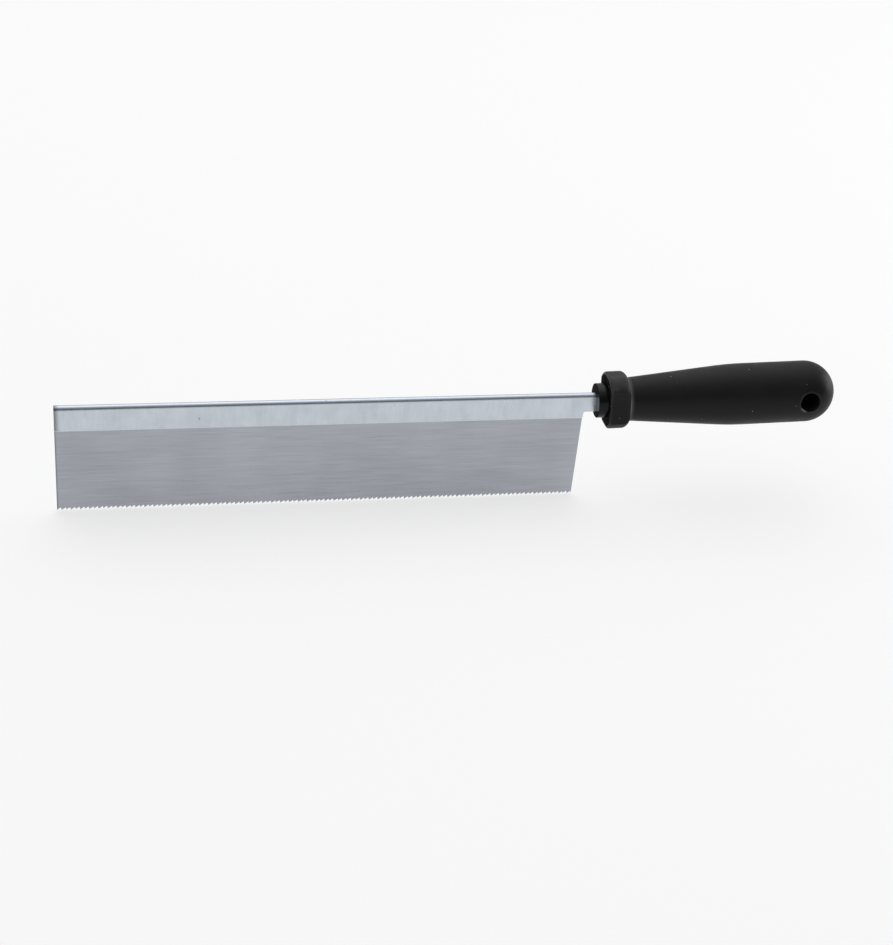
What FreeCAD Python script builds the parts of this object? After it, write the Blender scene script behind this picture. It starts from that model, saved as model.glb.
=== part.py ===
import FreeCAD
import Part
import Sketcher
import math
import os

# Back saw with a turned handle: toothed blade, folded steel back with its tang, ferrule and handle.
#
# Frame: +X from the toe of the blade to the end of the handle, +Z up from the tooth points,
# Y across the blade. The origin is under the middle of the saw's length, level with the tooth
# points, in the middle plane of the blade. Millimetres and degrees throughout.

SIZES = [
    ("blade_length", 250.0, "toe to heel"),
    ("blade_depth", 44.1, "tooth points to the lower edge of the back"),
    ("blade_thickness", 0.6, "sheet steel"),
    ("tooth_pitch", 2.155, "point to point"),
    ("tooth_depth", 1.25, "point to gullet"),
    ("tooth_rake", 10.0, "lean of the tooth face towards the toe, degrees from square"),
    ("tooth_land", 0.06, "flat left on each point"),
    ("back_height", 12.75, "lower edge to the top of the fold"),
    ("leaf_thickness", 1.7, "sheet that the back is folded from"),
    ("fold_room", 2.05, "upper edge of the blade to the inside of the fold"),
    ("back_overhang", 0.3, "full-height back beyond the heel of the blade"),
    ("back_edge_round", 0.35, "round on the lower outer edges"),
    ("tang_rise", 3.4, "step up from the back's lower edge to the tang"),
    ("tang_depth", 62.0, "tang inside the ferrule and handle"),
    ("tang_point", 8.0, "length of the bevel at the end of the tang"),
    ("tang_drop", 5.0, "height that the bevel takes off"),
    ("tang_clearance", 0.1, "tang to its socket, all round"),
    ("notch_round", 1.0, "corner between the back's end and the tang"),
    ("neck_gap", 6.0, "heel of the blade to the face of the ferrule"),
    ("axis_rise", 8.5, "handle axis above the back's lower edge at the ferrule's face"),
    ("handle_tilt", 1.4, "rise of the handle's axis towards its end, degrees"),
    ("handle_clock", 6.5, "turn of the handle about its own axis, degrees"),
    ("ferrule_radius", 8.36, "outside"),
    ("ferrule_wall", 1.0, "drawn steel cup"),
    ("ferrule_reach", 4.96, "standing out of the bolster"),
    ("ferrule_seat", 7.0, "sunk into the bolster"),
    ("ferrule_round", 0.3, "front outer edge"),
    ("ferrule_clearance", 0.05, "ferrule to the handle, all round"),
    ("bolster_radius", 13.76, "round part between the flats"),
    ("bolster_length", 7.5, "front face to the start of the rear chamfer"),
    ("bolster_chamfer", 2.95, "length of the rear chamfer"),
    ("bolster_bevel", 1.0, "bevel round the front outer edge"),
    ("side_flat", 11.07, "axis to each side flat"),
    ("end_flat", 13.27, "axis to the upper and the lower flat"),
    ("throat_radius", 10.42, "grip where it leaves the bolster"),
    ("throat_fillet", 0.8, "hollow between bolster and grip"),
    ("grip_length", 88.85, "throat to the centre of the domed end"),
    ("grip_radius", 14.9, "thickest part"),
    ("grip_taper", 5.05, "slope of the tapered part, degrees"),
    ("taper_blend", 170.0, "radius that joins the taper to the straight part"),
    ("hole_radius", 4.75, "hanging hole"),
    ("hole_setback", 15.75, "axis of the hanging hole to the end of the handle"),
    ("hole_rim", 0.7, "round at the mouths of the hanging hole"),
    ("cutter_overlap", 2.0, "how far a cutting shape runs past what it cuts"),
]

# Places that several pieces share, written once in terms of the sizes above.
BACK_THICKNESS = "(sizes.blade_thickness + 2 * sizes.leaf_thickness)"
BACK_LENGTH = "(sizes.blade_length + sizes.back_overhang)"
BACK_TOP = "(sizes.blade_depth + sizes.back_height)"
FOLD_INSIDE = f"({BACK_TOP} - sizes.leaf_thickness)"
TANG_FOOT = "(sizes.blade_depth + sizes.tang_rise)"
TANG_END = "(sizes.blade_length + sizes.neck_gap + sizes.tang_depth)"
FERRULE_FACE = "(sizes.blade_length + sizes.neck_gap)"
NOSE_FRONT = "(sizes.ferrule_wall + sizes.ferrule_clearance)"
NOSE_RADIUS = "(sizes.ferrule_radius - sizes.ferrule_wall - sizes.ferrule_clearance)"
SEAT_END = "(sizes.ferrule_reach + sizes.ferrule_seat + sizes.ferrule_clearance)"
SEAT_RADIUS = "(sizes.ferrule_radius + sizes.ferrule_clearance)"
BEVEL_END = "(sizes.ferrule_reach + sizes.bolster_bevel)"
CHAMFER_START = "(sizes.ferrule_reach + sizes.bolster_length)"
THROAT = f"({CHAMFER_START} + sizes.bolster_chamfer)"
DOME_CENTRE = f"({THROAT} + sizes.grip_length)"
HANDLE_END = f"({DOME_CENTRE} + sizes.grip_radius)"
HOLE_PLACE = f"({HANDLE_END} - sizes.hole_setback)"
TOE = f"(-0.5 * ({FERRULE_FACE} + {DOME_CENTRE} * cos(sizes.handle_tilt) + sizes.grip_radius))"
SAW_PLACEMENT = (
    f"create(<<placement>>; create(<<vector>>; {TOE}; 0; 0);"
    " create(<<rotation>>; create(<<vector>>; 0; 1; 0); 0))"
)
TILT = "create(<<rotation>>; create(<<vector>>; 0; 1; 0); -sizes.handle_tilt)"
CLOCK = "create(<<rotation>>; create(<<vector>>; 1; 0; 0); -sizes.handle_clock)"
HANDLE_BASE = f"create(<<vector>>; {TOE} + {FERRULE_FACE}; 0; sizes.blade_depth + sizes.axis_rise)"

TOLERANCE = 0.001  # for finding an edge by its place, in millimetres

doc = FreeCAD.newDocument("back_saw")
sheet = doc.addObject("Spreadsheet::Sheet", "sizes")
for row, (alias, value, note) in enumerate(SIZES, start=1):
    sheet.set(f"A{row}", alias)
    sheet.set(f"B{row}", str(value))
    sheet.set(f"C{row}", note)
    sheet.setAlias(f"B{row}", alias)
doc.recompute()


def size_of(expression):
    """The present value of an expression over the sheet."""
    return float(sheet.evalExpression(expression.replace("sizes.", "")))


def new_body(label, placement):
    body = doc.addObject("PartDesign::Body", label)
    body.Label = label
    body.setExpression("Placement", placement)
    return body


def new_sketch(body, name, role):
    """A sketch on one of the body's own origin planes."""
    sketch = body.newObject("Sketcher::SketchObject", name)
    plane = next(item for item in body.Origin.OriginFeatures if item.Role == role)
    sketch.AttachmentSupport = [(plane, "")]
    sketch.MapMode = "FlatFace"
    return sketch


def bind(sketch, constraint, name, expression):
    """Add a constraint whose value follows an expression."""
    index = sketch.addConstraint(constraint)
    sketch.renameConstraint(index, name)
    sketch.setExpression(f"Constraints.{name}", expression)


def pin_point(sketch, geometry, end, name, place):
    """Fix one end of a piece of geometry at a pair of expressions."""
    across, up = place
    bind(sketch, Sketcher.Constraint("DistanceX", -1, 1, geometry, end, size_of(across)), f"{name}_x", across)
    bind(sketch, Sketcher.Constraint("DistanceY", -1, 1, geometry, end, size_of(up)), f"{name}_y", up)


def add_lines(sketch, name, places, closed):
    """Straight lines through a list of places; returns the numbers of the lines."""
    points = [FreeCAD.Vector(size_of(across), size_of(up), 0) for across, up in places]
    ends = points[1:] + points[:1] if closed else points[1:]
    lines = []
    for start, end in zip(points, ends):
        lines.append(sketch.addGeometry(Part.LineSegment(start, end)))
    for this, following in zip(lines, lines[1:]):
        sketch.addConstraint(Sketcher.Constraint("Coincident", this, 2, following, 1))
    if closed:
        sketch.addConstraint(Sketcher.Constraint("Coincident", lines[-1], 2, lines[0], 1))
    for number, line in enumerate(lines):
        pin_point(sketch, line, 1, f"{name}_{number}", places[number])
    if not closed:
        pin_point(sketch, lines[-1], 2, f"{name}_{len(lines)}", places[-1])
    return lines


def add_rectangle(sketch, name, low, high):
    corners = [low, (high[0], low[1]), high, (low[0], high[1])]
    add_lines(sketch, name, corners, closed=True)


def add_feature(body, kind, name, sketch, **settings):
    feature = body.newObject(f"PartDesign::{kind}", name)
    feature.Profile = sketch
    for key, value in settings.items():
        setattr(feature, key, value)
    return feature


def cut_through(body, name, sketch):
    """A pocket right through the body, both ways from its sketch, checked to have cut something."""
    doc.recompute()
    before = body.Shape.Volume
    pocket = add_feature(body, "Pocket", name, sketch, Type="ThroughAll", Midplane=True)
    doc.recompute()
    if body.Shape.Volume >= before:
        raise RuntimeError(f"{name} cuts nothing")
    return pocket


def round_edges(body, name, wanted, size):
    """Round those edges of the body that a test picks out."""
    doc.recompute()
    edges = []
    for number, edge in enumerate(body.Tip.Shape.Edges, start=1):
        if edge.Length > TOLERANCE and wanted(edge):
            edges.append(f"Edge{number}")
    if not edges:
        raise RuntimeError(f"{name} finds no edge")
    fillet = body.newObject("PartDesign::Fillet", name)
    fillet.Base = (fillet.BaseFeature, edges)
    fillet.setExpression("Radius", f"sizes.{size}")
    return fillet


def points_on(edge):
    """Both ends of an edge and places between them."""
    first, last = edge.ParameterRange
    return [edge.valueAt(first + (last - first) * share) for share in (0, 0.25, 0.5, 0.75, 1)]


def near(first, second):
    return abs(first - second) < TOLERANCE


def off_axis(point):
    """Distance from a handle body's own X axis."""
    return math.hypot(point.y, point.z)


def make_blade():
    """Flat sheet with a row of teeth cut along its lower edge."""
    body = new_body("blade", SAW_PLACEMENT)
    plate = new_sketch(body, "blade_outline", "XZ_Plane")
    add_rectangle(plate, "plate", ("0", "0"), ("sizes.blade_length", f"{FOLD_INSIDE} - sizes.fold_room"))
    sheet_metal = add_feature(body, "Pad", "blade_sheet", plate, Midplane=True)
    sheet_metal.setExpression("Length", "sizes.blade_thickness")

    gullet = new_sketch(body, "gullet_outline", "XZ_Plane")
    face_lean = "sizes.tooth_depth * tan(sizes.tooth_rake)"
    corners = [
        ("sizes.tooth_land / 2", "0"),
        ("sizes.tooth_pitch - sizes.tooth_land / 2", "0"),
        (f"sizes.tooth_pitch - sizes.tooth_land / 2 - {face_lean}", "sizes.tooth_depth"),
    ]
    add_lines(gullet, "gullet", corners, closed=True)
    first_gullet = cut_through(body, "first_gullet", gullet)
    teeth = body.newObject("PartDesign::LinearPattern", "teeth")
    teeth.Originals = [first_gullet]
    teeth.Direction = (gullet, ["H_Axis"])
    teeth.setExpression("Occurrences", "floor(sizes.blade_length / sizes.tooth_pitch)")
    teeth.setExpression("Length", "(floor(sizes.blade_length / sizes.tooth_pitch) - 1) * sizes.tooth_pitch")
    body.Tip = teeth
    return body


def make_back():
    """Sheet folded over the blade; behind the heel it narrows to the tang inside the handle."""
    body = new_body("back", SAW_PLACEMENT)
    section = new_sketch(body, "back_section", "YZ_Plane")
    half_back = f"{BACK_THICKNESS} / 2"
    half_blade = "sizes.blade_thickness / 2"
    shoulder = f"{BACK_TOP} - {half_back}"
    places = [
        (f"-{half_back}", shoulder),
        (f"-{half_back}", "sizes.blade_depth"),
        (f"-{half_blade}", "sizes.blade_depth"),
        (f"-{half_blade}", FOLD_INSIDE),
        (half_blade, FOLD_INSIDE),
        (half_blade, "sizes.blade_depth"),
        (half_back, "sizes.blade_depth"),
        (half_back, shoulder),
    ]
    lines = add_lines(section, "leaf", places, closed=False)
    centre = FreeCAD.Vector(0, size_of(shoulder), 0)
    circle = Part.Circle(centre, FreeCAD.Vector(0, 0, 1), size_of(half_back))
    fold = section.addGeometry(Part.ArcOfCircle(circle, 0, math.pi))
    section.addConstraint(Sketcher.Constraint("Coincident", fold, 1, lines[-1], 2))
    section.addConstraint(Sketcher.Constraint("Coincident", fold, 2, lines[0], 1))
    centre_height = Sketcher.Constraint("DistanceY", -1, 1, fold, 3, size_of(shoulder))
    bind(section, centre_height, "fold_centre", shoulder)
    folded = add_feature(body, "Pad", "folded_sheet", section)
    folded.setExpression("Length", TANG_END)

    notch = new_sketch(body, "notch_outline", "XZ_Plane")
    add_rectangle(
        notch,
        "notch",
        (BACK_LENGTH, "sizes.blade_depth - sizes.cutter_overlap"),
        (f"{TANG_END} + sizes.cutter_overlap", TANG_FOOT),
    )
    cut_through(body, "notch", notch)

    bevel = new_sketch(body, "tang_bevel_outline", "XZ_Plane")
    corners = [
        (f"{TANG_END} - sizes.tang_point", TANG_FOOT),
        (TANG_END, TANG_FOOT),
        (TANG_END, f"{TANG_FOOT} + sizes.tang_drop"),
    ]
    add_lines(bevel, "bevel", corners, closed=True)
    cut_through(body, "tang_bevel", bevel)

    end_of_back = size_of(BACK_LENGTH)
    tang_foot = size_of(TANG_FOOT)
    lower_edge = size_of("sizes.blade_depth")
    outside = size_of(half_back)

    def in_notch_corner(edge):
        ends = [vertex.Point for vertex in edge.Vertexes]
        return all(near(end.x, end_of_back) and near(end.z, tang_foot) for end in ends)

    def along_lower_edge(edge):
        ends = [vertex.Point for vertex in edge.Vertexes]
        return all(near(end.z, lower_edge) and near(abs(end.y), outside) for end in ends)

    round_edges(body, "notch_corner", in_notch_corner, "notch_round")
    round_edges(body, "lower_edges", along_lower_edge, "back_edge_round")
    return body


def make_tang_socket():
    """The space that the tang takes, with its clearance: cut from the ferrule and the handle."""
    socket = doc.addObject("Part::Box", "tang_socket")
    start = f"({FERRULE_FACE} - sizes.cutter_overlap)"
    socket.setExpression("Length", f"{TANG_END} + sizes.tang_clearance - {start}")
    socket.setExpression("Width", f"{BACK_THICKNESS} + 2 * sizes.tang_clearance")
    socket.setExpression("Height", f"{BACK_TOP} - {TANG_FOOT} + 2 * sizes.tang_clearance")
    corner = (
        f"create(<<vector>>; {TOE} + {start};"
        f" -({BACK_THICKNESS} / 2 + sizes.tang_clearance);"
        f" {TANG_FOOT} - sizes.tang_clearance)"
    )
    flat = "create(<<rotation>>; create(<<vector>>; 0; 1; 0); 0)"
    socket.setExpression("Placement", f"create(<<placement>>; {corner}; {flat})")
    return socket


def cut_socket(label, body, socket):
    """The finished sub-part: a body less the tang's socket."""
    cut = doc.addObject("Part::Cut", label)
    cut.Base = body
    cut.Tool = socket
    cut.Label = label
    return cut


def make_ferrule(socket):
    """Drawn cup, closed in front, pressed over the nose of the handle."""
    placement = f"create(<<placement>>; {HANDLE_BASE}; {TILT})"
    body = new_body("ferrule_cup", placement)
    profile = new_sketch(body, "cup_profile", "XZ_Plane")
    cup_end = "sizes.ferrule_reach + sizes.ferrule_seat"
    inside = "sizes.ferrule_radius - sizes.ferrule_wall"
    places = [
        ("0", "0"),
        ("0", "sizes.ferrule_radius"),
        (cup_end, "sizes.ferrule_radius"),
        (cup_end, inside),
        ("sizes.ferrule_wall", inside),
        ("sizes.ferrule_wall", "0"),
    ]
    add_lines(profile, "cup", places, closed=True)
    add_feature(body, "Revolution", "cup", profile, ReferenceAxis=(profile, ["H_Axis"]), Angle=360)
    outside = size_of("sizes.ferrule_radius")

    def front_rim(edge):
        points = points_on(edge)
        return all(near(point.x, 0) and near(off_axis(point), outside) for point in points)

    round_edges(body, "front_rim", front_rim, "ferrule_round")
    return cut_socket("ferrule", body, socket)


def handle_profile(body):
    """Half outline of the handle about its axis, from the nose inside the ferrule to the domed end."""
    sketch = new_sketch(body, "handle_profile", "XZ_Plane")
    places = [
        (NOSE_FRONT, "0"),
        (NOSE_FRONT, NOSE_RADIUS),
        (SEAT_END, NOSE_RADIUS),
        (SEAT_END, SEAT_RADIUS),
        ("sizes.ferrule_reach", SEAT_RADIUS),
        ("sizes.ferrule_reach", "sizes.bolster_radius - sizes.bolster_bevel"),
        (BEVEL_END, "sizes.bolster_radius"),
        (CHAMFER_START, "sizes.bolster_radius"),
        (THROAT, "sizes.throat_radius"),
    ]
    lines = add_lines(sketch, "turned", places, closed=False)

    grip = size_of("sizes.grip_radius")
    blend = size_of("sizes.taper_blend")
    slope = math.radians(size_of("sizes.grip_taper"))
    throat = FreeCAD.Vector(size_of(THROAT), size_of("sizes.throat_radius"), 0)
    dome = FreeCAD.Vector(size_of(DOME_CENTRE), 0, 0)
    corner = throat.x + (grip - throat.y) / math.tan(slope)
    blend_centre = FreeCAD.Vector(corner + blend * math.tan(slope / 2), grip - blend, 0)
    leaves_taper = blend_centre + blend * FreeCAD.Vector(-math.sin(slope), math.cos(slope), 0)
    meets_straight = blend_centre + FreeCAD.Vector(0, blend, 0)
    normal = FreeCAD.Vector(0, 0, 1)
    square = math.pi / 2

    taper = sketch.addGeometry(Part.LineSegment(throat, leaves_taper))
    blend_circle = Part.Circle(blend_centre, normal, blend)
    hump = sketch.addGeometry(Part.ArcOfCircle(blend_circle, square, square + slope))
    dome_top = dome + FreeCAD.Vector(0, grip, 0)
    straight = sketch.addGeometry(Part.LineSegment(meets_straight, dome_top))
    end_arc = sketch.addGeometry(Part.ArcOfCircle(Part.Circle(dome, normal, grip), 0, square))
    tail = dome + FreeCAD.Vector(grip, 0, 0)
    nose = FreeCAD.Vector(size_of(NOSE_FRONT), 0, 0)
    axis = sketch.addGeometry(Part.LineSegment(tail, nose))

    sketch.addConstraint(Sketcher.Constraint("Coincident", lines[-1], 2, taper, 1))
    bind(sketch, Sketcher.Constraint("Angle", taper, slope), "taper_angle", "sizes.grip_taper * 1 deg")
    sketch.addConstraint(Sketcher.Constraint("Tangent", taper, 2, hump, 2))
    sketch.addConstraint(Sketcher.Constraint("Tangent", hump, 1, straight, 1))
    bind(sketch, Sketcher.Constraint("Radius", hump, blend), "blend_radius", "sizes.taper_blend")
    sketch.addConstraint(Sketcher.Constraint("Horizontal", straight))
    pin_point(sketch, straight, 2, "dome_top", (DOME_CENTRE, "sizes.grip_radius"))
    sketch.addConstraint(Sketcher.Constraint("Coincident", end_arc, 2, straight, 2))
    pin_point(sketch, end_arc, 3, "dome_centre", (DOME_CENTRE, "0"))
    sketch.addConstraint(Sketcher.Constraint("Coincident", end_arc, 1, axis, 1))
    sketch.addConstraint(Sketcher.Constraint("Coincident", axis, 2, lines[0], 1))
    sketch.addConstraint(Sketcher.Constraint("Horizontal", axis))
    return sketch


def make_handle(socket):
    """Moulded handle: nose, bolster with flats, tapered grip with a domed end and a hanging hole."""
    placement = f"create(<<placement>>; {HANDLE_BASE}; {TILT} * {CLOCK})"
    body = new_body("handle_moulding", placement)
    profile = handle_profile(body)
    add_feature(body, "Revolution", "turning", profile, ReferenceAxis=(profile, ["H_Axis"]), Angle=360)

    beyond = "sizes.bolster_radius + sizes.cutter_overlap"
    before = "sizes.ferrule_reach - sizes.cutter_overlap"
    for plane, flat in (("XY_Plane", "side_flat"), ("XZ_Plane", "end_flat")):
        sketch = new_sketch(body, f"{flat}_outline", plane)
        for side, sign in (("near", ""), ("far", "-")):
            corners = [
                (before, f"{sign}(sizes.{flat} - sizes.bolster_bevel)"),
                ("sizes.ferrule_reach", f"{sign}(sizes.{flat} - sizes.bolster_bevel)"),
                (BEVEL_END, f"{sign}sizes.{flat}"),
                (THROAT, f"{sign}sizes.{flat}"),
                (THROAT, f"{sign}({beyond})"),
                (before, f"{sign}({beyond})"),
            ]
            add_lines(sketch, side, corners, closed=True)
        cut_through(body, f"{flat}s", sketch)

    throat = size_of(THROAT)
    throat_radius = size_of("sizes.throat_radius")

    def throat_hollow(edge):
        points = points_on(edge)
        return all(near(point.x, throat) and near(off_axis(point), throat_radius) for point in points)

    round_edges(body, "throat_hollow", throat_hollow, "throat_fillet")

    hole = new_sketch(body, "hole_outline", "XZ_Plane")
    hole_centre = FreeCAD.Vector(size_of(HOLE_PLACE), 0, 0)
    hole_radius = size_of("sizes.hole_radius")
    ring = hole.addGeometry(Part.Circle(hole_centre, FreeCAD.Vector(0, 0, 1), hole_radius))
    bind(hole, Sketcher.Constraint("Radius", ring, hole_radius), "hole_radius", "sizes.hole_radius")
    pin_point(hole, ring, 3, "hole", (HOLE_PLACE, "0"))
    cut_through(body, "hanging_hole", hole)

    def hole_mouth(edge):
        points = points_on(edge)
        on_wall = all(near(math.hypot(point.x - hole_centre.x, point.z), hole_radius) for point in points)
        return on_wall and not near(points[0].y, -points[-1].y)

    round_edges(body, "hole_mouths", hole_mouth, "hole_rim")
    return cut_socket("handle", body, socket)


tang_socket = make_tang_socket()
parts = [make_blade(), make_back(), make_ferrule(tang_socket), make_handle(tang_socket)]
doc.recompute()

for item in doc.Objects:
    if "Invalid" in item.State or "Error" in item.State:
        raise RuntimeError(f"{item.Name} failed: {item.State}")
for part in parts:
    if part.Shape.isNull() or not part.Shape.isValid():
        raise RuntimeError(f"{part.Label} has no valid shape")

os.makedirs("parts", exist_ok=True)
for part in parts:
    part.Shape.exportStep(f"parts/{part.Label}.step")
    box = part.Shape.BoundBox
    print(
        f"{part.Label}: {len(part.Shape.Solids)} solid, {part.Shape.Volume:.1f} mm3,"
        f" x {box.XMin:.2f} to {box.XMax:.2f}, y {box.YMin:.2f} to {box.YMax:.2f},"
        f" z {box.ZMin:.2f} to {box.ZMax:.2f}"
    )
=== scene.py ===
import math
import bpy
import numpy as np
from mathutils import Matrix, Vector


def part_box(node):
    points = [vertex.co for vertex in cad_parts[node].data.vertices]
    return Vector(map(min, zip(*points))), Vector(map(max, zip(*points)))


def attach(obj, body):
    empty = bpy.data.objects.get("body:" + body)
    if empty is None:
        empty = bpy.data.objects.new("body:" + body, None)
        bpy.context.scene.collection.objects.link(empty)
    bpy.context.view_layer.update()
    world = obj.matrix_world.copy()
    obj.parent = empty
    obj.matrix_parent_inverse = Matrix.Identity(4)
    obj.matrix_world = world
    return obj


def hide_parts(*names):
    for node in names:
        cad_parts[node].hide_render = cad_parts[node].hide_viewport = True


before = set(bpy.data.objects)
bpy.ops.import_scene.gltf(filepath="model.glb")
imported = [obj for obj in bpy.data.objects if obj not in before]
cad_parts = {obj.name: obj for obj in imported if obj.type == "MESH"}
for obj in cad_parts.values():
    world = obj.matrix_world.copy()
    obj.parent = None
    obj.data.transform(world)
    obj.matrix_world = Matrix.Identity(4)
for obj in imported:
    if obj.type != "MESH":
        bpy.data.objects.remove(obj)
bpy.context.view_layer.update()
scene = bpy.context.scene
mm = 0.001

# the blade's box gives where the saw is: toe, heel, tooth points and upper edge of the sheet
bladeLow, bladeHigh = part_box("blade")
toeX = bladeLow.x / mm
heelX = bladeHigh.x / mm
toothLineZ = bladeLow.z / mm
bladeTopZ = bladeHigh.z / mm
backLow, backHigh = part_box("back")
backLowZ = backLow.z / mm
backHighZ = backHigh.z / mm
tangEndX = backHigh.x / mm
print("frame loaded, blade", round(heelX - toeX, 1), "mm long")


def linearColour(hexText):
    # an sRGB hex value as the linear colour that shaders take
    parts = np.array([int(hexText[i:i + 2], 16) for i in (0, 2, 4)]) / 255
    linear = np.where(parts <= 0.04045, parts / 12.92, ((parts + 0.055) / 1.055) ** 2.4)
    return (*linear.tolist(), 1.0)


def addNode(tree, kind, inputs=None, **settings):
    # one node with its settings; an input is a plain value or another node's output
    node = tree.nodes.new("ShaderNode" + kind)
    for name, value in settings.items():
        setattr(node, name, value)
    for name, value in (inputs or {}).items():
        if isinstance(value, bpy.types.NodeSocket):
            tree.links.new(value, node.inputs[name])
        else:
            node.inputs[name].default_value = value
    return node


def newMaterial(name):
    # an empty material with its output node
    material = bpy.data.materials.new(name)
    material.use_nodes = True
    tree = material.node_tree
    tree.nodes.clear()
    return material, tree, addNode(tree, "OutputMaterial")


def gridFaces(index, wrapRows=False, wrapColumns=False):
    # the four corners of each cell of a grid of vertex numbers, row by row
    grid = index
    if wrapRows:
        grid = np.concatenate([grid, grid[:1]], axis=0)
    if wrapColumns:
        grid = np.concatenate([grid, grid[:, :1]], axis=1)
    cells = [grid[:-1, :-1], grid[:-1, 1:], grid[1:, 1:], grid[1:, :-1]]
    return np.stack([cell.ravel() for cell in cells], axis=1)


def meshPiece(name, points, cells, material, sharpAngle, ends=(), marks=None):
    # Points are in millimetres. A cell of four corners with one repeated is a triangle, and ends are whole
    # outlines. Marks are values from 0 to 1 at each point, which the finish reads.
    cells = np.concatenate(cells)
    repeated = cells == np.roll(cells, 1, axis=1)
    folded = repeated.any(axis=1)
    quads = cells[~folded].tolist()
    triangles = cells[folded][~repeated[folded]].reshape(-1, 3).tolist()
    outlines = [list(end) for end in ends]
    mesh = bpy.data.meshes.new(name)
    mesh.from_pydata((points.reshape(-1, 3) * mm).tolist(), [], quads + triangles + outlines)
    for key, values in (marks or {}).items():
        mark = mesh.attributes.new(key, "FLOAT", "POINT")
        mark.data.foreach_set("value", values.astype(np.float32).ravel())
    mesh.shade_smooth()
    mesh.set_sharp_from_angle(angle=math.radians(sharpAngle))
    mesh.materials.append(material)
    piece = bpy.data.objects.new(name, mesh)
    scene.collection.objects.link(piece)
    return piece


def place(piece, node):
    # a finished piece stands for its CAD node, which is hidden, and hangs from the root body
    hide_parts(node)
    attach(piece, "root")
    print(piece.name, "made with", len(piece.data.polygons), "faces")


steelFinish = {
    "light": "BFC2C9",
    "dark": "A3A6AD",
    "edge": "7A7C80",
    "roughness": (0.26, 0.38),
    "lineSpacing": 0.27,     # grinding lines are nearer 0.1 mm apart; drawn wider so that they show
    "lineLength": 22.0,
    "lineDepth": 0.012,
    "streakSpacing": 1.9,    # bands where the belt bit harder
    "streakLength": 60.0,
    "streakShare": 0.3,
    "cloudSize": 38.0,
    "cloudShare": 0.25,
}


def groundSpringSteel():
    # hardened spring steel, belt-ground lengthwise: fine bright and dark lines that blur what it mirrors
    facts = steelFinish
    material, tree, output = newMaterial("spring_steel_ground")
    here = addNode(tree, "TexCoord").outputs["Object"]
    grain = []
    for kind in ("line", "streak"):
        length = facts[kind + "Length"]
        scale = (1 / (length * mm), 1 / (length * mm), 1 / (facts[kind + "Spacing"] * mm))
        drawn = addNode(tree, "Mapping", {"Vector": here, "Scale": scale}).outputs["Vector"]
        noise = addNode(tree, "TexNoise", {"Vector": drawn, "Scale": 1.0, "Detail": 3.0, "Roughness": 0.62})
        grain.append(noise.outputs["Fac"])
    cloud = addNode(tree, "TexNoise", {"Vector": here, "Scale": 1 / (facts["cloudSize"] * mm), "Detail": 2.0})
    both = addNode(tree, "Mix", {"Factor": facts["streakShare"], "A": grain[0], "B": grain[1]})
    mixed = addNode(
        tree, "Mix", {"Factor": facts["cloudShare"], "A": both.outputs["Result"], "B": cloud.outputs["Fac"]}
    )
    shade = addNode(tree, "MapRange", {"Value": mixed.outputs["Result"], "From Min": 0.34, "From Max": 0.66})
    dark = linearColour(facts["dark"])
    light = linearColour(facts["light"])
    shaded = shade.outputs["Result"]
    colour = addNode(tree, "Mix", {"Factor": shaded, "A": dark, "B": light}, data_type="RGBA")
    sheared = addNode(tree, "Attribute", attribute_name="sheared").outputs["Fac"]
    edged = addNode(
        tree,
        "Mix",
        {"Factor": sheared, "A": colour.outputs["Result"], "B": linearColour(facts["edge"])},
        data_type="RGBA",
    )
    low, high = facts["roughness"]
    rough = addNode(
        tree, "MapRange", {"Value": grain[0], "From Min": 0.3, "From Max": 0.7, "To Min": low, "To Max": high}
    )
    lines = addNode(tree, "Bump", {"Height": grain[0], "Strength": 0.35, "Distance": facts["lineDepth"] * mm})
    metal = addNode(
        tree,
        "BsdfPrincipled",
        {
            "Base Color": edged.outputs["Result"],
            "Metallic": 1.0,
            "Roughness": rough.outputs["Result"],
            "Normal": lines.outputs["Normal"],
        },
    )
    tree.links.new(metal.outputs["BSDF"], output.inputs["Surface"])
    return material


zincFinish = {
    "light": "D2D8DE",
    "dark": "C4CBD2",
    "pit": "55595E",
    "edge": "6B6F74",
    # painted highlight along the back's lower edges
    "edge_highlight": "F2F5F9",
    "fold_top_shade": "B9C0C8",   # painted shade over the fold's top, dimming what it mirrors of the light above
    "roughness": (0.25, 0.37),
    "streakSpacing": 2.4,    # where the bath drained off the hanging part
    "streakAcross": 3.0,
    "streakHeight": 14.0,
    "streakDepth": 0.015,
    "pitSpacing": (5.5, 5.5, 8.0),
    "pitSize": 0.3,          # pinholes are nearer 0.15 mm; drawn wider so that they show
    "pitShare": 0.6,
    "cloudSize": 9.0,
    "cloudShare": 0.4,
    "waveSize": 16.0,
    "waveDepth": 0.10,
}


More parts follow.
